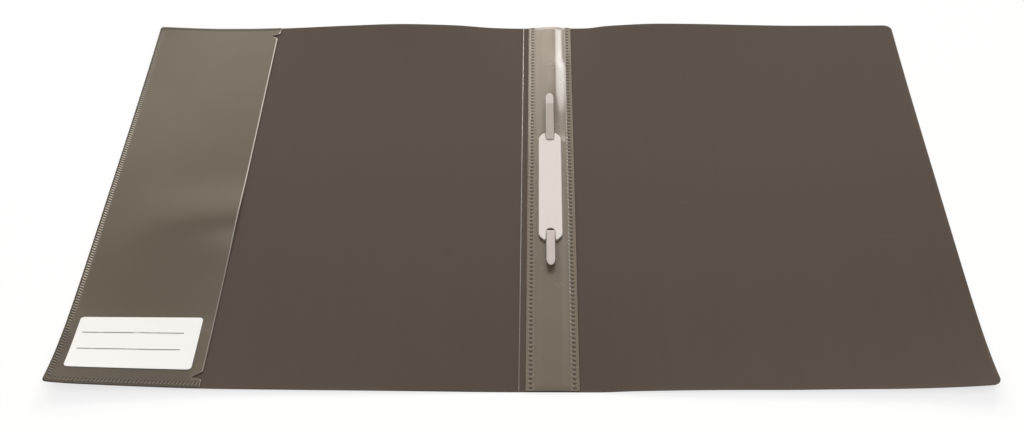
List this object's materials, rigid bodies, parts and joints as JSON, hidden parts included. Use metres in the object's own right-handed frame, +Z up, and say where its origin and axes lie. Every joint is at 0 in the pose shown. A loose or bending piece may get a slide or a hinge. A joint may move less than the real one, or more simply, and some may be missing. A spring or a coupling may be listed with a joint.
{
  "type": "plastic fastener folder",
  "caption": "A4 plastic folder lying open: dark covers on a creased hinge, clear pocket with a blank label, and a strip fastener with folding tongues under a cover bar.",
  "frame": {"origin": "on the floor plane, under the middle of the crease", "axes": "+X from the crease to the back cover's outer edge, +Y along the crease to the far edge, +Z up out of the folder's inside"},
  "size_m": [0.48, 0.31, 0.0087],
  "materials": {
    "cover_sheet": "matte dark taupe polypropylene, fine grain",
    "crease_line": "stretched and paler along the fold",
    "clear_film": "hazy clear film, glossy",
    "weld_fused": "fused, knurled",
    "label_paper": "smooth white",
    "strip_plastic": "satin light grey",
    "bar_plastic": "satin cream"
  },
  "bodies": {
    "back": {"back_cover": "cover_sheet", "hinge_crease": "crease_line", "fastener_film": "clear_film", "film_weld_inner": "weld_fused", "film_weld_outer": "weld_fused", "tongue_strip": "strip_plastic"},
    "front": {"front_cover": "cover_sheet", "pocket_film": "clear_film", "pocket_weld_side": "weld_fused", "pocket_weld_top": "weld_fused", "pocket_weld_bottom": "weld_fused", "label": "label_paper"},
    "upper": {"upper_tongue": "strip_plastic"},
    "lower": {"lower_tongue": "strip_plastic"},
    "bar": {"cover_bar": "bar_plastic"}
  },
  "joints": [
    {"name": "front_hinge", "type": "hinge", "parent": "back", "child": "front", "pos_m": [0, 0, 0.0029], "axis": [0, 1, 0], "range_deg": [0, 175]},
    {"name": "upper_tongue_fold", "type": "hinge", "parent": "back", "child": "upper", "pos_m": [0.0163, 0.04, 0.0033], "axis": [1, 0, 0], "range_deg": [-3, 177]},
    {"name": "lower_tongue_fold", "type": "hinge", "parent": "back", "child": "lower", "pos_m": [0.0163, -0.04, 0.0033], "axis": [-1, 0, 0], "range_deg": [-3, 177]},
    {"name": "bar_lift", "type": "slide", "parent": "back", "child": "bar", "axis": [0, 0, 1], "range_m": [0, 0.003]}
  ]
}
